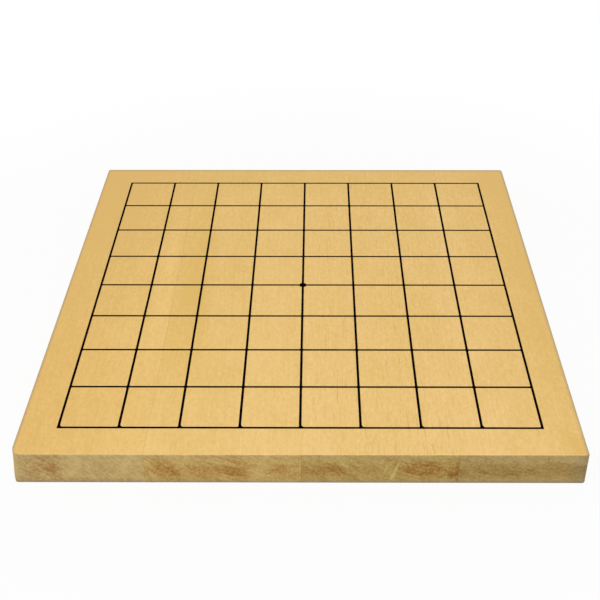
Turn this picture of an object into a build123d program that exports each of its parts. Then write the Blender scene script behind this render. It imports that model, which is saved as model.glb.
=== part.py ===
from build123d import *
import os

# Small weiqi board: four staves of pale wood glued edge to edge into one panel,
# with a nine by nine grid and its star point printed in black on the upper face.
# Millimetres. The origin is the middle of the underside. +X runs across the files,
# +Y along the files and the grain, and +Z is up.

# Playing grid
file_pitch = 22.0  # between neighbouring files, the lines along Y
rank_pitch = 23.7  # between neighbouring ranks, the lines along X
file_count = 9
rank_count = 9
side_margin = 14.3  # middle of the outer file to the side of the board
near_margin = 14.5  # middle of the nearest rank to the near end of the board
far_margin = 15.2  # middle of the farthest rank to the far end of the board

# Panel
board_thickness = 13.6
corner_radius = 1.2  # the four upright corners
edge_radius = 0.6  # the edges round the upper face and the underside

# Staves and glue
stave_count = 4
stave_width = 55.9  # one glue line to the next; the outer staves are trimmed narrower
middle_joint_x = 0.6  # the panel was trimmed a little off the middle of its joints
glue_thickness = 0.12

# Printing
line_width = 0.96
ink_thickness = 0.1
pool_size = 0.35  # ink drawn into the corners where two lines cross, along each line
star_diameter = 3.2

# Sizes that follow
grid_width = (file_count - 1) * file_pitch
grid_length = (rank_count - 1) * rank_pitch
board_width = grid_width + 2 * side_margin
board_length = grid_length + near_margin + far_margin
grid_y = (near_margin - far_margin) / 2  # the grid lies a little nearer to the near end
joint_x = [middle_joint_x + (n - stave_count / 2) * stave_width for n in range(1, stave_count)]
file_x = [(n - (file_count - 1) / 2) * file_pitch for n in range(file_count)]
rank_y = [grid_y + (n - (rank_count - 1) / 2) * rank_pitch for n in range(rank_count)]
star_x = file_x[file_count // 2]
star_y = rank_y[rank_count // 2]
crossing_width = line_width + 2 * pool_size  # a line with the pools on both sides


def finished_panel():
    """The whole panel, with its corners rounded and its edges eased."""
    with BuildSketch() as plan:
        RectangleRounded(board_width, board_length, corner_radius)
    extrude(plan.sketch, amount=board_thickness)
    underside = faces().sort_by(Axis.Z)[0]
    upper_face = faces().sort_by(Axis.Z)[-1]
    fillet(underside.edges() + upper_face.edges(), radius=edge_radius)


def keep_right_of(x):
    """Saws away what lies to the left of a plane across the panel."""
    split(bisect_by=Plane.YZ.offset(x), keep=Keep.TOP)


def keep_left_of(x):
    """Saws away what lies to the right of a plane across the panel."""
    split(bisect_by=Plane.YZ.offset(x), keep=Keep.BOTTOM)


def leave_star_bare():
    """Leaves room in a printed line for the star point."""
    with Locations((star_x, star_y)):
        Circle(star_diameter / 2, mode=Mode.SUBTRACT)


os.makedirs("parts", exist_ok=True)

# Staves, left to right: each is a slice of the finished panel between two joints
for number in range(1, stave_count + 1):
    with BuildPart() as stave:
        finished_panel()
        if number > 1:
            keep_right_of(joint_x[number - 2] + glue_thickness / 2)
        if number < stave_count:
            keep_left_of(joint_x[number - 1] - glue_thickness / 2)
    stave.part.label = f"stave_{number}"
    export_step(stave.part, f"parts/{stave.part.label}.step")

# Glue lines, left to right: each fills one joint and is sanded flush with the wood
for number, x in enumerate(joint_x, start=1):
    with BuildPart() as glue_line:
        finished_panel()
        keep_right_of(x - glue_thickness / 2)
        keep_left_of(x + glue_thickness / 2)
    glue_line.part.label = f"glue_line_{number}"
    export_step(glue_line.part, f"parts/{glue_line.part.label}.step")

# Bare square: the wood inside four lines, with the ink pools taken off its corners
with BuildSketch() as bare_square:
    Rectangle(file_pitch - line_width, rank_pitch - line_width)
    chamfer(bare_square.vertices(), pool_size)

# Files, left to right: what the bare squares leave of a strip as wide as a crossing,
# so each file is one stroke with the pools and the stubs of the ranks that cross it
for number, x in enumerate(file_x, start=1):
    with BuildPart() as file_line:
        with BuildSketch(Plane.XY.offset(board_thickness)):
            with Locations((0, grid_y)):
                Rectangle(grid_width + line_width, grid_length + line_width)
                with GridLocations(file_pitch, rank_pitch, file_count - 1, rank_count - 1):
                    add(bare_square.sketch, mode=Mode.SUBTRACT)
            with Locations((x, grid_y)):
                Rectangle(crossing_width, grid_length + line_width, mode=Mode.INTERSECT)
            leave_star_bare()
        extrude(amount=ink_thickness)
    file_line.part.label = f"file_line_{number}"
    export_step(file_line.part, f"parts/{file_line.part.label}.step")

# Ranks, near to far: a row of plain strokes from the pools of one file to those of the next
for number, y in enumerate(rank_y, start=1):
    with BuildPart() as rank_line:
        with BuildSketch(Plane.XY.offset(board_thickness)):
            with Locations((0, y)):
                with GridLocations(file_pitch, rank_pitch, file_count - 1, 1):
                    Rectangle(file_pitch - crossing_width, line_width)
            leave_star_bare()
        extrude(amount=ink_thickness)
    rank_line.part.label = f"rank_line_{number}"
    export_step(rank_line.part, f"parts/{rank_line.part.label}.step")

# Star point: the dot on the middle crossing
with BuildPart() as star_point:
    with BuildSketch(Plane.XY.offset(board_thickness)):
        with Locations((star_x, star_y)):
            Circle(star_diameter / 2)
    extrude(amount=ink_thickness)
star_point.part.label = "star_point"
export_step(star_point.part, "parts/star_point.step")
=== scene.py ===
import functools
import math

import bmesh
import bpy
from mathutils import Matrix, Vector, noise


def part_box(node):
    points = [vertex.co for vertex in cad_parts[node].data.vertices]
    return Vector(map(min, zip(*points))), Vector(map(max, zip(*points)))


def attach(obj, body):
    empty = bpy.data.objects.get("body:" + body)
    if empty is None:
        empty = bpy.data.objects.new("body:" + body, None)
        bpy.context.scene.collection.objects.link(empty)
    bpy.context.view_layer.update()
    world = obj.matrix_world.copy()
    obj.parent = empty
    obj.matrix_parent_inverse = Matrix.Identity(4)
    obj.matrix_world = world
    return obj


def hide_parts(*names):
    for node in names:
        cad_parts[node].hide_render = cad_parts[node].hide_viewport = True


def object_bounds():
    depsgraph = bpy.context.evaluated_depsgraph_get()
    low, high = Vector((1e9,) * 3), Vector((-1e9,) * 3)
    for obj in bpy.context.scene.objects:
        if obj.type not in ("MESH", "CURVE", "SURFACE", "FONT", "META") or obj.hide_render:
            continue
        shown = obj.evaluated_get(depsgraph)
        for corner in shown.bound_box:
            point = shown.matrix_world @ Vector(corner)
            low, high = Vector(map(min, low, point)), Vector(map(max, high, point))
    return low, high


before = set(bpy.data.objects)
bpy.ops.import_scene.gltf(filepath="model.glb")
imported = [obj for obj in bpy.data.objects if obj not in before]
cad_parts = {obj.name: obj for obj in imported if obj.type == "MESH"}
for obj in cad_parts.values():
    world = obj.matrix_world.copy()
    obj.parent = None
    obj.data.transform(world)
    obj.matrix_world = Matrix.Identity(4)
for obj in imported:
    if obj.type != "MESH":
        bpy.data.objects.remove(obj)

bl_info = {
    "name": "Weiqi Board",
    "version": (1, 0, 0),
    "blender": (4, 5, 0),
    "location": "3D View > Sidebar > Weiqi Board",
    "description": "Dresses an edge-glued wooden weiqi board and prints its grid",
    "category": "Add Mesh",
}

# The solid board's box, kept from before anything is dressed
CAD_BOX = [list(corner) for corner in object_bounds()]
BODY = "root"
MM = 0.001
X, Y, Z = range(3)


def numbered(prefix):
    """The nodes called prefix_1, prefix_2 and so on, in order."""
    found = [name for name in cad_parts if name.startswith(prefix + "_")]
    return sorted(found, key=lambda name: int(name.rsplit("_", 1)[1]))


def extent(node, axis):
    """A node's size along one axis."""
    low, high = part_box(node)
    return high[axis] - low[axis]


def middle(node, axis):
    """The middle of a node along one axis."""
    low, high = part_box(node)
    return (high[axis] + low[axis]) / 2


STAVES = numbered("stave")
GLUE_LINES = numbered("glue_line")
FILES = numbered("file_line")
RANKS = numbered("rank_line")
STAR = "star_point"

# Sizes that the solid board gives
FACE_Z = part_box(STAR)[0].z
NEAR_END_Y = CAD_BOX[0][Y]
INK_THICKNESS = extent(STAR, Z)
HALF_LINE = extent(RANKS[0], Y) / 2
POOL = extent(FILES[1], X) / 2 - HALF_LINE
STAR_RADIUS = extent(STAR, X) / 2
STAR_X, STAR_Y = middle(STAR, X), middle(STAR, Y)
FILE_X = [middle(node, X) for node in FILES]
FILE_X[0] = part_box(FILES[0])[0].x + HALF_LINE
FILE_X[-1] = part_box(FILES[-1])[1].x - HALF_LINE
RANK_Y = [middle(node, Y) for node in RANKS]

# Shader choices that come back
SOFT_STEP = {"interpolation_type": "SMOOTHSTEP"}
COLOURS = {"data_type": "RGBA"}
ADD, SUBTRACT, MULTIPLY, DIVIDE, MULTIPLY_ADD, MAXIMUM = (
    {"operation": name} for name in ("ADD", "SUBTRACT", "MULTIPLY", "DIVIDE", "MULTIPLY_ADD", "MAXIMUM")
)
LENGTH, SCALE, DISTANCE, ABSOLUTE, ARCTAN2 = (
    {"operation": name} for name in ("LENGTH", "SCALE", "DISTANCE", "ABSOLUTE", "ARCTAN2")
)

# Random patterns: at this scale a patch comes out about as large as the size asked for
CLOUD_SCALE = 0.5
CLOUD_ROUGHNESS = 0.55
# How far the trunk wanders across the board and up, and over what lengths, in millimetres
TRUNK_WANDER = (14.0, 0.0, 14.0)
TRUNK_WANDER_SIZE = (25.0, 90.0, 25.0)
# How strongly each pattern shows in the tone of the faces, in that of the end grain, and in a mark there
FACE_WEIGHTS = {"bands": 0.3, "clouds": 0.5, "fibres": 0.65, "specks": 1.1, "rings": 0.15}
END_WEIGHTS = {"blotches": 1.1, "streaks": 1.5, "rays": -0.5, "pores": 2.0, "rings": 0.4}
RAGGED_WEIGHTS = {"streaks": 1.5, "blotches": 1.5, "pores": 1.5}
# How much the amount of vessels adds to the pattern of their groves
VESSEL_GAIN = 0.45

# Ranges in which a value is read: nothing shows at From Min, and all of it, or To Max of it, at From Max.
# Those of patterns and tones
VESSEL_OPEN = {"From Min": 0.57, "From Max": 0.7}
GROVE = {"From Min": 0.75, "From Max": 0.9}
GLUE_GAP = {"From Min": 0.42, "From Max": 0.62}
INK_CREST = {"From Min": 0.55, "From Max": 0.8}
FACE_TONES = {"From Min": -0.5, "From Max": 0.5}
BROWN_TONES = {"From Min": -0.5, "From Max": 1.0}
STAIN_TONES = {"From Min": 1.0, "From Max": 2.0}
# The part of a normal that lies along an axis, and a distance in parts of a mark's reach
FACING = {"From Min": 0.55, "From Max": 0.85}
MARK_EDGE = {"From Min": 1.35, "From Max": 0.15}
# Millimetres from the middle of the browner core, which is this high above the underside
CORE = {"From Min": 7.0, "From Max": 0.5}
CORE_HEIGHT = 5.6
# Millimetres above the underside: painted contact shadow with the table's grime, grime below the face, and
# painted shade along the face's edges
FOOT_SHADOW_AND_GRIME = {"From Min": 2.9, "From Max": -0.6, "To Max": 0.67}
HIGH_GRIME = {"From Min": 10.0, "From Max": 12.5, "To Max": 0.12}
EDGE_SHADE = {"From Min": 12.6, "From Max": 13.3, "To Max": 0.42}
# Millimetres in from a long edge and from the far edge at which that painted shade starts and is full
SIDE_RIM = (1.7, 0.3)
FAR_RIM = (3.2, 0.4)
# Millimetres from an upright corner at which its painted shade and grime start
CORNER_SHADE_REACH = 9.0
# Metres from the board's middle, over which the floor fades from mostly plain white to wholly so
FLOOR_FADE = {"From Min": 0.14, "From Max": 0.3, "To Min": 0.93}

# Sizes across, along and up of the gaps in a glue line and of the crests under the ink, in millimetres
GLUE_GAP_SIZE = (2.0, 18.0, 2.0)
INK_CREST_SIZE = (0.4, 10.0, 0.4)

# How the surfaces shine. Lacquer, glue and ink all refract like plastic, and the photograph's soft light
# leaves the lacquer little gloss and the ink none. The end grain drinks the lacquer and is rougher
LACQUER = {"IOR": 1.5, "Specular IOR Level": 0.25}
LACQUER_ROUGHNESS = {"To Min": 0.48, "To Max": 0.65}
GLUE = {"Roughness": 0.5, "IOR": 1.5, "Specular IOR Level": 0.25}
INK = {"Roughness": 0.85, "IOR": 1.5, "Specular IOR Level": 0.01}
# The relief of the fibres in the lacquer, and of the crests in the ink
FIBRE_RELIEF = {"Strength": 0.15, "Distance": 0.05 * MM}
CREST_RELIEF = {"Strength": 0.3, "Distance": 0.02 * MM}

WHITE = (1.0, 1.0, 1.0)
# The camera's sensor in millimetres, and the nearest that it sees in metres
SENSOR_WIDTH = 36.0
NEAREST_SEEN = 0.01


def linear(code):
    """An sRGB hex colour as linear red, green and blue."""
    channels = [int(code[i : i + 2], 16) / 255 for i in (0, 2, 4)]
    return [c / 12.92 if c <= 0.04045 else ((c + 0.055) / 1.055) ** 2.4 for c in channels]


def length(name, description, millimetres=0.0):
    """A size that the panel shows, given in millimetres."""
    return bpy.props.FloatProperty(
        name=name, description=description, default=millimetres * MM, precision=5, unit="LENGTH"
    )


def spot(name, description, millimetres=(0.0, 0.0, 0.0)):
    """A place or a size in three directions that the panel shows, given in millimetres."""
    default = [c * MM for c in millimetres]
    return bpy.props.FloatVectorProperty(
        name=name, description=description, default=default, precision=5, subtype="XYZ_LENGTH"
    )


def angle(name, description, degrees=0.0):
    """An angle that the panel shows, given in degrees."""
    return bpy.props.FloatProperty(
        name=name, description=description, default=math.radians(degrees), subtype="ANGLE"
    )


def amount(name, description, value=0.0):
    """A plain number that the panel shows."""
    return bpy.props.FloatProperty(name=name, description=description, default=value)


def colour(name, description, code):
    """A colour that the panel shows, given as an sRGB hex value."""
    return bpy.props.FloatVectorProperty(
        name=name, description=description, default=linear(code), min=0.0, max=1.0, subtype="COLOR"
    )


class WeiqiWood(bpy.types.PropertyGroup):
    """What is the same in every stave. The real fibres, vessels and pores are 0.05 to 0.2 mm wide, too fine
    to show, so all three are drawn as coarse as they need to show."""

    fibre_width: length("Fibre width", "Width of a bundle of fibres that shows as one streak", 0.3)
    fibre_length: length("Fibre length", "Length of such a streak along the grain", 9.0)
    speck_size: length("Speck size", "Width of the specks that sanding leaves in the lacquer", 0.5)
    vessel_width: length("Vessel width", "Width of an opened vessel", 0.19)
    vessel_length: length("Vessel length", "Length of an opened vessel along the grain", 3.8)
    band_width: length("Band width", "Width of the broad bands that growth leaves on a face", 7.0)
    cloud_size: length("Cloud size", "Width of the cloudy patches on a face", 6.0)
    pore_size: length("Pore size", "Width of the speckles on the end grain", 0.42)
    vessel: colour("Vessel", "Dust and lacquer in an opened vessel", "8a6414")
    vessel_share: amount("Vessel share", "How much of that colour shows", 0.18)
    # Painted shade as well as grime: this colour darkens the foot of the sides and ends as contact shadow,
    # the upright corners, and the face's edges
    soil_and_shade: colour("Soil", "Grime from hands and the table", "7c7870")


class WeiqiMark(bpy.types.PropertyGroup):
    """One darker or paler patch of a stave."""

    place: spot("Place", "Middle of the patch")
    reach: spot("Reach", "Half the patch's size, in its own directions")
    lean: angle("Lean", "Turn from level, anticlockwise as seen from the near end")
    strength: amount("Strength", "Darker above nought, paler below")


class WeiqiStave(bpy.types.PropertyGroup):
    """One stave: where it grew in the tree, its tones and its patches."""

    heart_x: length("Heart X", "The tree's heart, across the board")
    heart_z: length("Heart Z", "The tree's heart, above the underside")
    ring_width: length("Ring width", "Wood that the tree grew in a year", 1.5)
    vessels_left: amount("Vessels, left", "How much of the faces shows opened vessels at the left joint")
    vessels_right: amount("Vessels, right", "How much of the faces shows them at the right joint")
    core: amount("Core", "How much browner the middle of the end grain is")
    # Painted shade with grime: darker and greyer at the upright corners, most on the right stave, whose
    # corners turn from the light
    corner_shade_and_grime: amount("Held", "Grime that hands have left at the upright corners")
    face_light: colour("Face, light", "Light wood on the faces and sides", "efc97f")
    face_dark: colour("Face, dark", "Dark wood on the faces and sides", "dcb56a")
    end_light: colour("End, light", "Pale wood on the end grain", "d8bc82")
    end_dark: colour("End, dark", "Brown wood on the end grain", "a9834a")
    end_stain: colour("End, stain", "The darkest brown on the end grain", "7c551f")
    face_marks: bpy.props.CollectionProperty(type=WeiqiMark)
    end_marks: bpy.props.CollectionProperty(type=WeiqiMark)


class WeiqiKnock(bpy.types.PropertyGroup):
    """The near left upper corner, knocked and rubbed round."""

    reach: length("Reach", "How far the wear runs along the two sides", 5.0)
    depth: length("Depth", "How far the wear runs down the corner", 10.5)
    loss: length("Loss", "How far the corner has gone in from each side", 1.1)
    drop: length("Drop", "How far the face sinks at the corner", 0.3)


class WeiqiJoint(bpy.types.PropertyGroup):
    """One glue line."""

    face: colour("Face", "The glue on the faces", "e0b970")
    end: colour("End", "The glue on the end grain", "9a7742")
    gap: colour("Gap", "The shadow where the joint lacks glue", "3a2a16")
    starved: amount("Starved", "How much of that shadow shows")


class WeiqiInk(bpy.types.PropertyGroup):
    """The printed lines."""

    black: colour("Black", "The ink", "050302")
    worn: amount("Worn", "How many times paler the ink is on the crests", 1.6)
    shoulder: length("Shoulder", "How far the film's edge slopes", 0.05)
    wander: length("Wander", "How far a line's edge strays from straight", 0.03)
    wander_length: length("Wander length", "Length of one such bend", 7.0)
    flare: length("Flare", "Ink dragged to the right where a file meets the near rank", 0.5)
    flare_length: length("Flare length", "How far that reaches up the file", 1.5)


class WeiqiStage(bpy.types.PropertyGroup):
    """Floor, light and camera."""

    floor_size: length("Floor", "Side of the floor", 8000.0)
    floor_gap: length("Floor gap", "Air under the board, so that two flat faces don't meet", 0.02)
    floor_white: amount("Floor white", "How much light the floor gives back", 0.72)
    ambient: amount("Room", "Light from the white room", 0.6)
    softbox_power: amount("Softbox power", "Power of the large soft lamp, in watts", 14.5)
    softbox_width: length("Softbox width", "Long side of the lamp", 1400.0)
    softbox_depth: length("Softbox depth", "Short side of the lamp", 1000.0)
    softbox_place: spot("Softbox place", "Middle of the lamp", (-300.0, -720.0, 1420.0))
    camera_place: spot("Camera place", "The lens", (5.61, -393.02, 270.13))
    focal_length: amount("Focal length", "Lens, in millimetres on a 36 mm sensor", 64.5)
    shift: amount("Shift", "Sideways shift of the picture, in picture widths", -0.02)
    tilt: angle("Tilt", "Camera below level", 33.953)
    turn: angle("Turn", "Camera turned to the right", -0.239)
    roll: angle("Roll", "Camera rolled", -0.061)


def add_node(tree, kind, choices, inputs):
    """Adds a shader node. An input is a value, a socket, or a node, which stands for its first output."""
    node = tree.nodes.new("ShaderNode" + kind)
    for name, value in choices.items():
        setattr(node, name, value)
    for key, value in inputs.items():
        socket = next(s for s in node.inputs if s.identifier == key)
        if isinstance(value, bpy.types.Node):
            value = next(s for s in value.outputs if s.enabled)
        if isinstance(value, bpy.types.NodeSocket):
            tree.links.new(value, socket)
        else:
            socket.default_value = value
    return node


def new_material(name):
    """An empty node material, its tree, and add_node for that tree."""
    material = bpy.data.materials.new(name)
    material.use_nodes = True
    material.node_tree.nodes.clear()
    return material, functools.partial(add_node, material.node_tree)


def millimetre_place(add):
    """Where a point of the board is, in millimetres, and the way its surface faces."""
    coordinates = add("TexCoord", {}, {})
    place = add("VectorMath", SCALE, {"Vector": coordinates.outputs["Object"], "Scale": 1 / MM})
    return place, coordinates.outputs["Normal"]


def cloud(add, place, size, detail, seed):
    """A soft random pattern round 0.5. Its patches are as large along X, Y and Z as size, in millimetres."""
    scaled = add("VectorMath", DIVIDE, {"Vector": place, "Vector_001": size})
    settings = {"W": seed, "Scale": CLOUD_SCALE, "Detail": detail, "Roughness": CLOUD_ROUGHNESS}
    return add("TexNoise", {"noise_dimensions": "4D"}, {"Vector": scaled, **settings})


def weigh(add, patterns, weights, start=0.0):
    """Adds to start how far each pattern lies from 0.5, times its weight."""
    total = start - sum(weights.values()) / 2
    for name, weight in weights.items():
        total = add("Math", MULTIPLY_ADD, {"Value": patterns[name], "Value_001": weight, "Value_002": total})
    return total


def patch(add, place, mark):
    """1 in the middle of a mark and 0 outside it."""
    settings = {
        "Location": [c / MM for c in mark.place],
        "Rotation": (0.0, -mark.lean, 0.0),
        "Scale": [c / MM for c in mark.reach],
    }
    inside = add("Mapping", {"vector_type": "TEXTURE"}, {"Vector": place, **settings})
    away = add("VectorMath", LENGTH, {"Vector": inside})
    return add("MapRange", SOFT_STEP, {"Value": away, **MARK_EDGE})


def add_marks(add, place, tone, marks, ragged=None):
    """Adds marks to a tone, with ragged edges where a pattern for them is given."""
    for mark in marks:
        inside = patch(add, place, mark)
        if ragged is not None:
            inside = add("Math", MULTIPLY, {"Value": inside, "Value_001": ragged})
        tone = add("Math", MULTIPLY_ADD, {"Value": inside, "Value_001": mark.strength, "Value_002": tone})
    return tone


def shaded(add, tone, tones, light, dark):
    """A colour that goes from light to dark as a tone goes through a range."""
    share = add("MapRange", {}, {"Value": tone, **tones})
    return add("Mix", COLOURS, {"Factor_Float": share, "A_Color": light, "B_Color": dark})


def opaque(rgb):
    """A colour with full alpha, as a colour socket takes it."""
    return (*rgb, 1.0)


def facing_share(add, normal, axis):
    """1 where a surface faces along an axis, either way, and 0 where it faces across it."""
    parts = add("SeparateXYZ", {}, {"Vector": normal})
    along = add("Math", ABSOLUTE, {"Value": parts.outputs[axis]})
    return add("MapRange", SOFT_STEP, {"Value": along, **FACING})


def wood_patterns(add, place, number, stave, wood):
    """The soft random patterns of one stave's wood, by name."""
    # Growth: distance from the heart and length round it, both bent by the trunk's slow wander
    wander = cloud(add, place, TRUNK_WANDER_SIZE, detail=1.0, seed=number)
    bent = {"Vector": wander.outputs["Color"], "Vector_001": TRUNK_WANDER, "Vector_002": place}
    drift = add("VectorMath", MULTIPLY_ADD, bent)
    heart = (stave.heart_x / MM, 0.0, stave.heart_z / MM)
    from_heart = add("VectorMath", SUBTRACT, {"Vector": drift, "Vector_001": heart})
    parts = add("SeparateXYZ", {}, {"Vector": from_heart})
    flat = add("CombineXYZ", {}, {"X": parts.outputs["X"], "Z": parts.outputs["Z"]})
    radius = add("VectorMath", LENGTH, {"Vector": flat})
    turn = add("Math", ARCTAN2, {"Value": parts.outputs["Z"], "Value_001": parts.outputs["X"]})
    arc = add("Math", MULTIPLY, {"Value": turn, "Value_001": radius})
    growth = add("CombineXYZ", {}, {"X": radius, "Y": parts.outputs["Y"], "Z": arc})

    ring, fibre, speck, vessel, band, puff, pore = (
        size / MM
        for size in (
            stave.ring_width, wood.fibre_width, wood.speck_size, wood.vessel_width,
            wood.band_width, wood.cloud_size, wood.pore_size,
        )
    )
    rows = {
        # Place, size in millimetres across, along the grain and up, detail, seed. In growth, the size is out
        # from the heart, along the grain and round the heart
        "rings": (growth, (ring, 80.0, 20.0), 1.0, 5),
        # The faces: faint bands, clouds, fibres and the specks of sanding, and vessels that stand in groves
        "bands": (drift, (band, 130.0, 2 * band), 1.0, 10),
        "clouds": (place, (puff, 1.6 * puff, puff), 4.0, 20),
        "fibres": (place, (fibre, wood.fibre_length / MM, fibre), 2.0, 30),
        "specks": (place, (speck, 1.8 * speck, speck), 1.0, 35),
        "vessels": (place, (vessel, wood.vessel_length / MM, vessel), 1.0, 40),
        "groves": (place, (6.0, 24.0, 6.0), 2.0, 50),
        # The end grain: blotches and streaks drawn out along the rings, rays across them, and fine pores
        "blotches": (growth, (2.2, 60.0, 6.0), 3.0, 60),
        "streaks": (growth, (0.45, 12.0, 2.2), 2.0, 65),
        "rays": (growth, (8.0, 20.0, 0.6), 1.0, 70),
        "pores": (place, (pore, 3.0, pore), 2.0, 80),
    }
    patterns = {}
    for name, (axes, size, detail, seed) in rows.items():
        patterns[name] = cloud(add, axes, size, detail, number + seed)
    return patterns


def vessel_lines(add, where, patterns, number, stave):
    """1 where the plane has opened a vessel: dashes, as many at each side as the stave says."""
    left, right = (corner.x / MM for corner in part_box(STAVES[number - 1]))
    across = {"Value": where.outputs["X"], "From Min": left, "From Max": right}
    shares = {"To Min": stave.vessels_left, "To Max": stave.vessels_right}
    shown = add("MapRange", {}, {**across, **shares})
    gain = {"Value_001": VESSEL_GAIN, "Value_002": patterns["groves"]}
    thick = add("Math", MULTIPLY_ADD, {"Value": shown, **gain})
    grove = add("MapRange", SOFT_STEP, {"Value": thick, **GROVE})
    opened = add("MapRange", SOFT_STEP, {"Value": patterns["vessels"], **VESSEL_OPEN})
    return add("Math", MULTIPLY, {"Value": opened, "Value_001": grove})


def face_colour(add, place, patterns, lines, stave, wood):
    """The colour of the faces and sides."""
    tone = weigh(add, patterns, FACE_WEIGHTS)
    tone = add_marks(add, place, tone, stave.face_marks)
    plain = shaded(add, tone, FACE_TONES, opaque(stave.face_light), opaque(stave.face_dark))
    line_share = add("Math", MULTIPLY, {"Value": lines, "Value_001": wood.vessel_share})
    colours = {"A_Color": plain, "B_Color": opaque(wood.vessel)}
    return add("Mix", COLOURS, {"Factor_Float": line_share, **colours})


def end_colour(add, place, where, patterns, stave):
    """The colour of the end grain, browner at mid height and stained at its darkest."""
    off_middle = add("Math", SUBTRACT, {"Value": where.outputs["Z"], "Value_001": CORE_HEIGHT})
    depth = add("Math", ABSOLUTE, {"Value": off_middle})
    core = add("MapRange", SOFT_STEP, {"Value": depth, **CORE})
    grain = weigh(add, patterns, END_WEIGHTS)
    tone = add("Math", MULTIPLY_ADD, {"Value": core, "Value_001": stave.core, "Value_002": grain})
    ragged = weigh(add, patterns, RAGGED_WEIGHTS, start=1.0)
    tone = add_marks(add, place, tone, stave.end_marks, ragged)
    brown = shaded(add, tone, BROWN_TONES, opaque(stave.end_light), opaque(stave.end_dark))
    return shaded(add, tone, STAIN_TONES, brown, opaque(stave.end_stain))


def grime_and_shade_share(add, place, where, normal, stave):
    """How much grime and painted shade lies on the wood: on the sides and ends most where they meet the
    table, as painted contact shadow with grime; a little grime below the face; painted shade with grime at
    the upright corners; and on the face a thin line of painted shade along its long edges and its far edge,
    where the eased edges turn from the light."""
    height = where.outputs["Z"]
    # The lowest band is painted contact shadow with the table's grime; the one below the face is grime
    low, high, top = (
        add("MapRange", SOFT_STEP, {"Value": height, **band}) for band in (FOOT_SHADOW_AND_GRIME, HIGH_GRIME, EDGE_SHADE)
    )
    level_bands = add("Math", ADD, {"Value": low, "Value_001": high})
    flat_place = add("VectorMath", MULTIPLY, {"Vector": place, "Vector_001": (1.0, 1.0, 0.0)})
    quarter = add("VectorMath", ABSOLUTE, {"Vector": flat_place})
    corner = (CAD_BOX[1][X] / MM, CAD_BOX[1][Y] / MM, 0.0)
    from_corner = add("VectorMath", DISTANCE, {"Vector": quarter, "Vector_001": corner})
    # Painted shade with grime near the upright corners
    near = {"Value": from_corner, "From Min": CORNER_SHADE_REACH, "From Max": 0.0, "To Max": stave.corner_shade_and_grime}
    corner_shade_and_grime = add("MapRange", SOFT_STEP, near)
    grime_and_shade = add("Math", ADD, {"Value": level_bands, "Value_001": corner_shade_and_grime})
    level = facing_share(add, normal, "Z")
    upright = add("Math", SUBTRACT, {"Value": 1.0, "Value_001": level})
    upright_grime_and_shade = add("Math", MULTIPLY, {"Value": grime_and_shade, "Value_001": upright})

    aside = add("SeparateXYZ", {}, {"Vector": quarter})
    # Painted shade: a darker line along the face's long edges and its far edge, where the eased edges turn
    # from the light
    rims = []
    for out, axis, (start, full) in ((aside.outputs["X"], X, SIDE_RIM), (where.outputs["Y"], Y, FAR_RIM)):
        edge = {"From Min": corner[axis] - start, "From Max": corner[axis] - full}
        rims.append(add("MapRange", SOFT_STEP, {"Value": out, **edge}))
    side_rim, far_rim = rims
    rim = add("Math", MAXIMUM, {"Value": side_rim, "Value_001": far_rim})
    return add("Math", MULTIPLY_ADD, {"Value": rim, "Value_001": top, "Value_002": upright_grime_and_shade})


def lacquered_rubberwood(number, stave, wood):
    """Rubberwood, planed, sanded and given one thin satin lacquer. The face is smooth and evenly warm, with
    short faint vessel lines. The end grain drinks the lacquer, so it is browner, speckled and blotched."""
    material, add = new_material(f"satin_lacquered_rubberwood_{number}")
    place, normal = millimetre_place(add)
    where = add("SeparateXYZ", {}, {"Vector": place})
    patterns = wood_patterns(add, place, number, stave, wood)
    lines = vessel_lines(add, where, patterns, number, stave)
    face = face_colour(add, place, patterns, lines, stave, wood)
    end = end_colour(add, place, where, patterns, stave)
    ends = facing_share(add, normal, "Y")
    clean = add("Mix", COLOURS, {"Factor_Float": ends, "A_Color": face, "B_Color": end})
    grime_and_shade = grime_and_shade_share(add, place, where, normal, stave)
    finished = add("Mix", COLOURS, {"Factor_Float": grime_and_shade, "A_Color": clean, "B_Color": opaque(wood.soil_and_shade)})
    relief = add("Math", SUBTRACT, {"Value": patterns["fibres"], "Value_001": lines})
    bump = add("Bump", {}, {"Height": relief, **FIBRE_RELIEF})
    roughness = add("MapRange", {}, {"Value": ends, **LACQUER_ROUGHNESS})
    lacquer = {"Roughness": roughness, **LACQUER, "Normal": bump}
    surface = add("BsdfPrincipled", {}, {"Base Color": finished, **lacquer})
    add("OutputMaterial", {}, {"Surface": surface})
    return material


def cured_glue(number, joint):
    """Cured wood glue, sanded flush with the staves under the same lacquer: a hairline of nearly the wood's
    colour, darker where the joint is starved."""
    material, add = new_material(f"cured_wood_glue_{number}")
    place, normal = millimetre_place(add)
    ends = facing_share(add, normal, "Y")
    colours = {"A_Color": opaque(joint.face), "B_Color": opaque(joint.end)}
    tone = add("Mix", COLOURS, {"Factor_Float": ends, **colours})
    gaps = cloud(add, place, GLUE_GAP_SIZE, detail=2.0, seed=number)
    starved = add("MapRange", SOFT_STEP, {"Value": gaps, **GLUE_GAP, "To Max": joint.starved})
    shadow = opaque(joint.gap)
    dark = add("Mix", COLOURS, {"Factor_Float": starved, "A_Color": tone, "B_Color": shadow})
    surface = add("BsdfPrincipled", {}, {"Base Color": dark, **GLUE})
    add("OutputMaterial", {}, {"Surface": surface})
    return material


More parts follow.
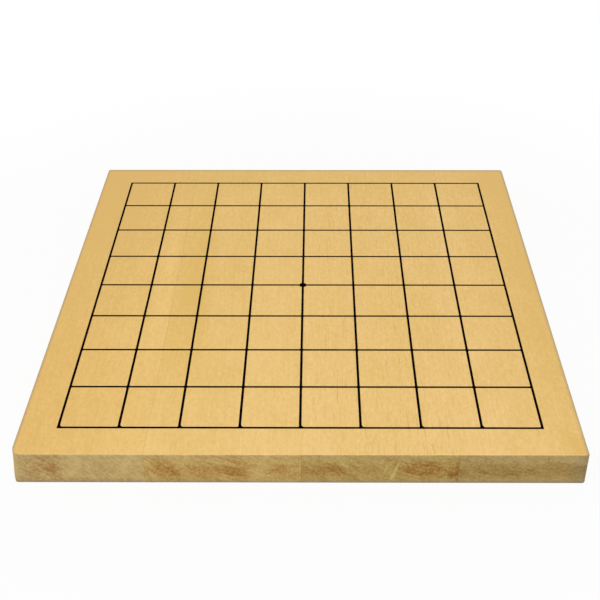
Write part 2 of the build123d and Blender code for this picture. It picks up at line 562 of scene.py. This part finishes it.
def screen_ink(ink):
    """Black screen-printing ink, printed once and dried matt: a near-black film, worn a little thin on the
    crests of the wood's fibres. The crests are 0.1 mm apart, and are drawn as coarse as they need to show."""
    material, add = new_material("matt_black_screen_ink")
    place, _ = millimetre_place(add)
    crests = cloud(add, place, INK_CREST_SIZE, detail=2.0, seed=5.0)
    thin = add("MapRange", SOFT_STEP, {"Value": crests, **INK_CREST})
    worn = [ink.worn * c for c in ink.black]
    tone = add("Mix", COLOURS, {"Factor_Float": thin, "A_Color": opaque(ink.black), "B_Color": opaque(worn)})
    bump = add("Bump", {}, {"Height": crests, **CREST_RELIEF})
    surface = add("BsdfPrincipled", {}, {"Base Color": tone, **INK, "Normal": bump})
    add("OutputMaterial", {}, {"Surface": surface})
    return material


# Parts of the wear's reach and depth at which the corner gets vertices of its own
WEAR_STEPS = (0.05, 0.12, 0.3, 0.4, 0.5, 0.6, 0.7, 0.8, 0.9, 1.0)
# Vertices that lie nearer to each other than this are one
WELD = 0.001 * MM
# Two faces that meet at more than this have a sharp edge between them
SHARP = math.radians(40)


def left_over(distance, reach):
    """1 at the corner and 0 from reach on."""
    return max(0.0, 1.0 - abs(distance) / reach)


def knocked_corner(solid, knock):
    """A bmesh of a solid whose near left upper corner is worn round."""
    mesh = bmesh.new()
    mesh.from_mesh(solid.data)
    bmesh.ops.remove_doubles(mesh, verts=mesh.verts, dist=WELD)
    corner = Vector((CAD_BOX[0][X], CAD_BOX[0][Y], FACE_Z))
    for axis, size in ((X, knock.reach), (Y, knock.reach), (Z, -knock.depth)):
        way = Vector((axis == X, axis == Y, axis == Z))
        for step in WEAR_STEPS:
            cut = {"plane_co": corner + size * step * way, "plane_no": way, "dist": WELD}
            bmesh.ops.bisect_plane(mesh, geom=[*mesh.verts, *mesh.edges, *mesh.faces], **cut)
    bmesh.ops.dissolve_degenerate(mesh, edges=mesh.edges, dist=WELD)
    for vertex in mesh.verts:
        away = vertex.co - corner
        x, y = left_over(away.x, knock.reach), left_over(away.y, knock.reach)
        z = left_over(away.z, knock.depth)
        vertex.co += z * Vector((knock.loss * x * y * y, knock.loss * y * x * x, -knock.drop * x * x * y * y))
    for edge in mesh.edges:
        edge.smooth = edge.calc_face_angle(0.0) < SHARP
    for face in mesh.faces:
        face.smooth = True
    return mesh


def bend(ink, along, seed):
    """How far a printed edge strays from its straight line, at one place along it."""
    return ink.wander * noise.noise(Vector((along / ink.wander_length, seed, BETWEEN_KNOTS)))


def pool(distance, width, reach):
    """How far ink creeps out of a line near a crossing: width at the crossing's edge, 0 from reach on."""
    left = 1.0 - min(max(distance / reach, 0.0), 1.0)
    return width * (1.0 - math.sqrt(1.0 - left * left))


# Parts of a pool's reach at which an outline is drawn, and the step between places along a plain stroke
POOL_STEPS = (0.0, 0.02, 0.08, 0.2, 0.4, 0.7, 1.0)
PLAIN_STEP = 2.5 * MM
# How far one stroke runs on under the next, and how much higher that next one lies
LAP = 0.2 * MM
LIFT = 0.003 * MM
STAR_SIDES = 64
# How many bends the star point's rim has across it
STAR_BENDS = 2
# Keeps the ranks' bends apart from the files'
RANK_SEED = 40
# Noise is nought at whole numbers, and runs freely half way between them
BETWEEN_KNOTS = 0.5


def add_stroke(mesh, stations, height, slope, turned):
    """Adds a closed stroke of ink to a bmesh. A station is a place along the stroke with its two edges."""
    rings = []
    for number, (along, left, right) in enumerate(stations):
        inward = {0: slope, len(stations) - 1: -slope}.get(number, 0.0)
        ring = [(left, along, 0.0), (left + slope, along + inward, height)]
        ring += [(right - slope, along + inward, height), (right, along, 0.0)]
        if turned:
            ring = [(v, u, z) for u, v, z in ring]
        rings.append([mesh.verts.new((x, y, FACE_Z + z)) for x, y, z in ring])
    for first, second in zip(rings, rings[1:]):
        for k in range(len(first)):
            following = (k + 1) % len(first)
            mesh.faces.new((first[k], first[following], second[following], second[k]))
    mesh.faces.new(rings[0])
    mesh.faces.new(rings[-1])


def file_stations(ink, number, start, end):
    """The outline of one file from start to end, with its pools and the stubs of the ranks that cross it."""
    places = {start, end}
    for y in RANK_Y:
        for step in POOL_STEPS:
            for reach in (POOL, ink.flare_length):
                places.update((y - HALF_LINE - step * reach, y + HALF_LINE + step * reach))
    count = round((RANK_Y[-1] - RANK_Y[0]) / PLAIN_STEP)
    places.update(RANK_Y[0] + n * PLAIN_STEP for n in range(count))
    stations = []
    for y in sorted(p for p in places if start <= p <= end):
        off = min(abs(y - rank) for rank in RANK_Y) - HALF_LINE
        near_off = y - RANK_Y[0] - HALF_LINE
        plain = min(max((off - POOL) / PLAIN_STEP, 0.0), 1.0)
        reaches = []
        for side, outer in ((-1, number == 0), (1, number == len(FILES) - 1)):
            crept = 0.0 if outer else pool(off, POOL, POOL)
            if side > 0 and not outer and near_off >= 0.0:
                crept = max(crept, pool(near_off, POOL + ink.flare, ink.flare_length))
            strayed = plain * bend(ink, y, 2 * number + side)
            reaches.append(FILE_X[number] + side * (HALF_LINE + crept + strayed))
        stations.append((y, *reaches))
    return stations


def rank_stations(ink, number, start, end):
    """The outline of one plain stroke of a rank, from under one file's stub to under the next."""
    count = math.ceil((end - start) / PLAIN_STEP)
    stations = []
    for n in range(count + 1):
        x = start + (end - start) * n / count
        plain = min((x - start) / PLAIN_STEP, (end - x) / PLAIN_STEP, 1.0)
        edges = []
        for side in (-1, 1):
            strayed = plain * bend(ink, x, RANK_SEED + 2 * number + side)
            edges.append(RANK_Y[number] + side * (HALF_LINE + strayed))
        stations.append((x, *edges))
    return stations


def finish_piece(mesh, name, node, material):
    """Turns a bmesh into a piece that stands for a node of the frame."""
    bmesh.ops.recalc_face_normals(mesh, faces=mesh.faces)
    data = bpy.data.meshes.new(name)
    mesh.to_mesh(data)
    mesh.free()
    data.materials.append(material)
    piece = bpy.data.objects.new(name, data)
    bpy.context.scene.collection.objects.link(piece)
    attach(piece, BODY)
    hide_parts(node)
    return piece


def ink_material(ink):
    """The ink, made once and shared by all printed pieces."""
    return bpy.data.materials.get("matt_black_screen_ink") or screen_ink(ink)


class WEIQI_OT_staves(bpy.types.Operator):
    """Finishes the four staves in lacquered rubberwood, the left one with its knocked corner"""

    bl_idname = "weiqi.staves"
    bl_label = "Finish staves"

    def execute(self, context):
        scene = context.scene
        for number, (node, stave) in enumerate(zip(STAVES, scene.weiqi_staves, strict=True), start=1):
            material = lacquered_rubberwood(number, stave, scene.weiqi_wood)
            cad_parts[node].material_slots[0].material = material
        left = STAVES[0]
        mesh = knocked_corner(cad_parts[left], scene.weiqi_knock)
        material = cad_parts[left].material_slots[0].material
        piece = finish_piece(mesh, "worn_stave_1", left, material)
        piece.modifiers.new("flat faces stay flat", "WEIGHTED_NORMAL").keep_sharp = True
        return {"FINISHED"}


class WEIQI_OT_glue(bpy.types.Operator):
    """Finishes the three glue lines"""

    bl_idname = "weiqi.glue"
    bl_label = "Finish glue lines"

    def execute(self, context):
        joints = context.scene.weiqi_joints
        for number, (node, joint) in enumerate(zip(GLUE_LINES, joints, strict=True), start=1):
            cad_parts[node].material_slots[0].material = cured_glue(number, joint)
        return {"FINISHED"}


class WEIQI_OT_files(bpy.types.Operator):
    """Prints the nine files, with the ink pooled where the ranks cross them"""

    bl_idname = "weiqi.files"
    bl_label = "Print files"

    def execute(self, context):
        ink = context.scene.weiqi_ink
        ends = (RANK_Y[0] - HALF_LINE, RANK_Y[-1] + HALF_LINE)
        for number, node in enumerate(FILES):
            runs = [ends]
            if abs(FILE_X[number] - STAR_X) < STAR_RADIUS:
                runs = [(ends[0], STAR_Y - STAR_RADIUS + LAP), (STAR_Y + STAR_RADIUS - LAP, ends[1])]
            mesh = bmesh.new()
            for start, end in runs:
                stations = file_stations(ink, number, start, end)
                add_stroke(mesh, stations, INK_THICKNESS - LIFT, ink.shoulder, False)
            finish_piece(mesh, f"printed_file_{number + 1}", node, ink_material(ink))
        return {"FINISHED"}


class WEIQI_OT_ranks(bpy.types.Operator):
    """Prints the nine ranks, each a row of plain strokes between the files"""

    bl_idname = "weiqi.ranks"
    bl_label = "Print ranks"

    def execute(self, context):
        ink = context.scene.weiqi_ink
        for number, node in enumerate(RANKS):
            mesh = bmesh.new()
            for left, right in zip(FILE_X, FILE_X[1:]):
                ends = []
                for x in (left, right):
                    starred = abs(x - STAR_X) < STAR_RADIUS and abs(RANK_Y[number] - STAR_Y) < STAR_RADIUS
                    ends.append(STAR_RADIUS - LAP if starred else HALF_LINE + POOL - LAP)
                stations = rank_stations(ink, number, left + ends[0], right - ends[1])
                add_stroke(mesh, stations, INK_THICKNESS - 2 * LIFT, ink.shoulder, True)
            finish_piece(mesh, f"printed_rank_{number + 1}", node, ink_material(ink))
        return {"FINISHED"}


class WEIQI_OT_star(bpy.types.Operator):
    """Prints the star point on the middle crossing"""

    bl_idname = "weiqi.star"
    bl_label = "Print star point"

    def execute(self, context):
        ink = context.scene.weiqi_ink
        mesh = bmesh.new()
        foot, rim = [], []
        for n in range(STAR_SIDES):
            way = math.tau * n / STAR_SIDES
            ray = Vector((math.cos(way), math.sin(way), 0.0))
            radius = STAR_RADIUS - ink.wander * (0.5 + 0.5 * noise.noise(STAR_BENDS * ray))
            middle_spot = Vector((STAR_X, STAR_Y, FACE_Z))
            foot.append(mesh.verts.new(middle_spot + radius * ray))
            top = middle_spot + (radius - ink.shoulder) * ray
            rim.append(mesh.verts.new((top.x, top.y, FACE_Z + INK_THICKNESS)))
        for n in range(STAR_SIDES):
            mesh.faces.new((foot[n - 1], foot[n], rim[n], rim[n - 1]))
        mesh.faces.new(foot)
        mesh.faces.new(rim)
        finish_piece(mesh, "printed_star_point", STAR, ink_material(ink))
        return {"FINISHED"}


def seen_share(add):
    """1 where the camera, a mirror or glass looks at a surface, and 0 where it gives the object light."""
    path = add("LightPath", {}, {})
    direct = add(
        "Math", ADD, {"Value": path.outputs["Is Camera Ray"], "Value_001": path.outputs["Is Glossy Ray"]}
    )
    return add("Math", ADD, {"Value": direct, "Value_001": path.outputs["Is Transmission Ray"]})


class WEIQI_OT_stage(bpy.types.Operator):
    """Sets out the floor, the lamp, the white room and the camera"""

    bl_idname = "weiqi.stage"
    bl_label = "Set stage"

    def execute(self, context):
        scene = context.scene
        stage = scene.weiqi_stage
        self.lay_floor(scene, stage)
        self.light_room(scene, stage)
        self.hang_softbox(scene, stage)
        self.place_camera(scene, stage)
        scene.view_settings.view_transform = "Standard"
        return {"FINISHED"}

    def lay_floor(self, scene, stage):
        """A white studio floor that keeps the board's soft shadow and fades into the white room."""
        half = stage.floor_size / 2
        mesh = bpy.data.meshes.new("studio_floor")
        corners = ((-half, -half), (half, -half), (half, half), (-half, half))
        mesh.from_pydata([(x, y, -stage.floor_gap) for x, y in corners], [], [range(4)])
        floor = bpy.data.objects.new("studio_floor", mesh)
        scene.collection.objects.link(floor)
        material, add = new_material("matt_white_studio_floor")
        coordinates = add("TexCoord", {}, {})
        away = add("VectorMath", LENGTH, {"Vector": coordinates.outputs["Object"]})
        plain = add("MapRange", SOFT_STEP, {"Value": away, **FLOOR_FADE})
        share = add("Math", MULTIPLY, {"Value": seen_share(add), "Value_001": plain})
        lit = add("BsdfDiffuse", {}, {"Color": opaque([stage.floor_white] * 3)})
        shown = add("Emission", {}, {"Color": opaque(WHITE), "Strength": 1.0})
        both = add("MixShader", {}, {"Fac": share, "Shader": lit, "Shader_001": shown})
        add("OutputMaterial", {}, {"Surface": both})
        mesh.materials.append(material)

    def light_room(self, scene, stage):
        """A plain white room, shown as white to the camera."""
        world = bpy.data.worlds.new("white_room")
        world.use_nodes = True
        world.node_tree.nodes.clear()
        add = functools.partial(add_node, world.node_tree)
        strength = add("MapRange", {}, {"Value": seen_share(add), "To Min": stage.ambient, "To Max": 1.0})
        room = add("Background", {}, {"Color": opaque(WHITE), "Strength": strength})
        add("OutputWorld", {}, {"Surface": room})
        scene.world = world

    def hang_softbox(self, scene, stage):
        """One large soft lamp in front of the board and to its left."""
        softbox = bpy.data.lights.new("softbox", "AREA")
        softbox.shape = "RECTANGLE"
        softbox.size = stage.softbox_width
        softbox.size_y = stage.softbox_depth
        softbox.energy = stage.softbox_power
        lamp = bpy.data.objects.new("softbox", softbox)
        lamp.location = stage.softbox_place
        lamp.rotation_mode = "QUATERNION"
        lamp.rotation_quaternion = (-lamp.location).to_track_quat("-Z", "Y")
        scene.collection.objects.link(lamp)

    def place_camera(self, scene, stage):
        """The photograph's viewpoint and framing."""
        camera = bpy.data.objects.new("camera", bpy.data.cameras.new("camera"))
        camera.data.sensor_width = SENSOR_WIDTH
        camera.data.lens = stage.focal_length
        camera.data.shift_x = stage.shift
        camera.data.clip_start = NEAREST_SEEN
        camera.matrix_world = (
            Matrix.Translation(stage.camera_place)
            @ Matrix.Rotation(-stage.turn, 4, "Z")
            @ Matrix.Rotation(math.pi / 2 - stage.tilt, 4, "X")
            @ Matrix.Rotation(stage.roll, 4, "Z")
        )
        scene.collection.objects.link(camera)
        scene.camera = camera


class WEIQI_PT_panel(bpy.types.Panel):
    """Lists the board's operators and settings"""

    bl_idname = "WEIQI_PT_panel"
    bl_label = "Weiqi Board"
    bl_space_type = "VIEW_3D"
    bl_region_type = "UI"
    bl_category = "Weiqi Board"

    def draw(self, context):
        scene = context.scene
        for operator in OPERATORS:
            self.layout.operator(operator.bl_idname)
        marks = [mark for stave in scene.weiqi_staves for mark in (*stave.face_marks, *stave.end_marks)]
        groups = [scene.weiqi_wood, *scene.weiqi_staves, *marks, scene.weiqi_knock, *scene.weiqi_joints]
        for group in (*groups, scene.weiqi_ink, scene.weiqi_stage):
            box = self.layout.box()
            for name in type(group).__annotations__:
                if not name.endswith("_marks"):
                    box.prop(group, name)


GROUPS = (WeiqiWood, WeiqiMark, WeiqiStave, WeiqiKnock, WeiqiJoint, WeiqiInk, WeiqiStage)
OPERATORS = (WEIQI_OT_staves, WEIQI_OT_glue, WEIQI_OT_files, WEIQI_OT_ranks, WEIQI_OT_star, WEIQI_OT_stage)


def register():
    for cls in (*GROUPS, *OPERATORS, WEIQI_PT_panel):
        bpy.utils.register_class(cls)
    bpy.types.Scene.weiqi_wood = bpy.props.PointerProperty(type=WeiqiWood)
    bpy.types.Scene.weiqi_staves = bpy.props.CollectionProperty(type=WeiqiStave)
    bpy.types.Scene.weiqi_knock = bpy.props.PointerProperty(type=WeiqiKnock)
    bpy.types.Scene.weiqi_joints = bpy.props.CollectionProperty(type=WeiqiJoint)
    bpy.types.Scene.weiqi_ink = bpy.props.PointerProperty(type=WeiqiInk)
    bpy.types.Scene.weiqi_stage = bpy.props.PointerProperty(type=WeiqiStage)


def unregister():
    del bpy.types.Scene.weiqi_stage
    del bpy.types.Scene.weiqi_ink
    del bpy.types.Scene.weiqi_joints
    del bpy.types.Scene.weiqi_knock
    del bpy.types.Scene.weiqi_staves
    del bpy.types.Scene.weiqi_wood
    for cls in reversed((*GROUPS, *OPERATORS, WEIQI_PT_panel)):
        bpy.utils.unregister_class(cls)


# How far a mark on a face reaches down and one on the near end reaches in, in millimetres
FACE_MARK_DEPTH = 60.0
END_MARK_DEPTH = 140.0


def set_out_staves(scene):
    """Gives each stave its place in the tree, its tones and its patches, in millimetres and degrees."""
    rows = (
        # heart X, heart Z, vessels left and right, core, corner shade and grime, face light, face dark, end
        # light, end dark
        (-150.0, -60.0, 0.2, 0.2, 0.05, 0.1, "edc57b", "d9b062", "ceb777", "a77d45"),
        (-5.0, 75.0, 0.3, 0.4, 0.25, 0.0, "edc783", "dab260", "d3b872", "a67734"),
        (60.0, 82.0, 0.5, 1.15, 0.37, 0.0, "efc988", "dcb462", "c9b26c", "9b7029"),
        (84.0, 110.0, 1.0, 0.0, 0.55, 0.25, "efc986", "dbb364", "c3a96c", "916f2e"),
    )
    face_marks = (
        # X, Y, half sizes along X and Y, strength
        # The wide bands at Y 130, -30 and 72 that cross the staves set the face's tone from far to near; the
        # darker far end they give is painted shade
        (
            (-108.0, 0.0, 42.0, 400.0, 0.45), (-60.5, 10.0, 4.0, 70.0, -0.15),
            (-80.0, 130.0, 200.0, 115.0, 0.33),
        ),
        (
            (-47.0, 35.0, 9.0, 75.0, 0.22), (-47.0, -3.0, 6.0, 14.0, 0.15), (-12.0, 0.0, 16.0, 200.0, -0.1),
            (-30.0, 130.0, 200.0, 130.0, 0.45), (-52.0, -35.0, 14.0, 62.0, 0.2),
            (-30.0, -30.0, 200.0, 62.0, 0.12), (-30.0, 72.0, 200.0, 30.0, -0.12),
        ),
        (
            (30.0, 130.0, 200.0, 130.0, 0.42), (30.0, -30.0, 200.0, 62.0, 0.14),
            (30.0, 72.0, 200.0, 30.0, -0.12),
        ),
        (
            # The small mark at X 101, Y -106 darkens the near right corner as painted shade, where the
            # rounded corner turns from the light
            (66.0, 0.0, 9.0, 200.0, -0.1), (108.0, 0.0, 26.0, 400.0, 0.3), (101.0, -106.0, 6.0, 9.0, 0.25),
            (80.0, 130.0, 200.0, 130.0, 0.42), (80.0, -30.0, 200.0, 62.0, 0.14),
            (80.0, 72.0, 200.0, 30.0, -0.12),
        ),
    )
    end_marks = (
        # X, Z, reach, breadth, lean, strength
        (
            (-101.5, 7.0, 9.0, 2.0, 90, -0.25), (-95.5, 6.0, 5.0, 3.0, -60, 0.3),
            (-89.5, 8.8, 7.0, 5.5, -65, 0.6), (-80.5, 6.8, 9.0, 1.8, 60, -0.25),
            (-71.0, 7.5, 5.0, 5.0, -60, 0.15), (-63.0, 6.8, 9.0, 2.0, 60, -0.2),
            # This long level mark darkens the foot of the left stave's end further, as painted contact shadow
            # with grime
            (-80.0, 0.8, 24.0, 2.2, 0, 0.25),
        ),
        (
            (-54.0, 5.2, 2.5, 2.0, -30, 0.35), (-47.3, 6.2, 7.0, 3.6, -45, 0.68),
            (-34.0, 6.2, 8.0, 4.0, -15, 0.2), (-23.0, 6.2, 6.5, 4.2, -50, 0.55),
            (-14.0, 7.0, 9.0, 2.5, 70, -0.3), (-7.0, 7.2, 3.5, 3.0, -20, 0.25),
        ),
        (
            (9.5, 6.4, 10.0, 3.6, 0, 0.28), (30.5, 6.5, 3.6, 0.5, 72, -0.45),
            (33.9, 6.0, 5.0, 0.45, 71, -0.9), (33.1, 3.2, 2.2, 1.1, 71, -0.5),
            (39.0, 6.3, 3.5, 2.8, -20, 0.4), (47.0, 6.3, 9.0, 5.0, -10, 0.6),
            (54.4, 6.3, 5.5, 1.8, 90, 0.45), (56.0, 6.8, 6.5, 0.8, 90, 0.9),
        ),
        (
            (77.0, 5.8, 4.0, 2.5, -30, 0.15), (88.0, 11.4, 1.8, 0.35, 88, 0.9),
            (79.0, 1.4, 26.0, 2.6, 0, -0.25), (79.0, 12.2, 26.0, 2.6, 0, -0.14),
            (101.5, 7.0, 9.0, 2.0, 90, 0.2),
        ),
    )
    for row, on_face, on_end in zip(rows, face_marks, end_marks, strict=True):
        heart_x, heart_z, vessels_left, vessels_right, core, corner_shade_and_grime, *colours = row
        stave = scene.weiqi_staves.add()
        stave.heart_x, stave.heart_z = heart_x * MM, heart_z * MM
        stave.vessels_left, stave.vessels_right = vessels_left, vessels_right
        stave.core, stave.corner_shade_and_grime = core, corner_shade_and_grime
        names = ("face_light", "face_dark", "end_light", "end_dark")
        for name, code in zip(names, colours, strict=True):
            setattr(stave, name, linear(code))
        for x, y, breadth, reach, strength in on_face:
            mark = stave.face_marks.add()
            mark.place = (x * MM, y * MM, 0.0)
            mark.reach = (breadth * MM, reach * MM, FACE_MARK_DEPTH * MM)
            mark.strength = strength
        for x, z, reach, breadth, lean, strength in on_end:
            mark = stave.end_marks.add()
            mark.place = (x * MM, NEAR_END_Y, z * MM)
            mark.reach = (reach * MM, END_MARK_DEPTH * MM, breadth * MM)
            mark.lean, mark.strength = math.radians(lean), strength


def set_out_joints(scene):
    """Gives each glue line its colours: only the left one shows on the face."""
    rows = (
        # face, end, starved
        ("cba458", "b8975f", 0.3),
        ("e2bb71", "8f6d3e", 0.1),
        ("e2bb71", "7c5228", 0.0),
    )
    for face, end, starved in rows:
        joint = scene.weiqi_joints.add()
        joint.face, joint.end, joint.starved = linear(face), linear(end), starved


def main():
    register()
    set_out_staves(bpy.context.scene)
    set_out_joints(bpy.context.scene)
    bpy.ops.weiqi.staves()
    bpy.ops.weiqi.glue()
    bpy.ops.weiqi.files()
    bpy.ops.weiqi.ranks()
    bpy.ops.weiqi.star()
    bpy.ops.weiqi.stage()


if __name__ == "__main__":
    main()
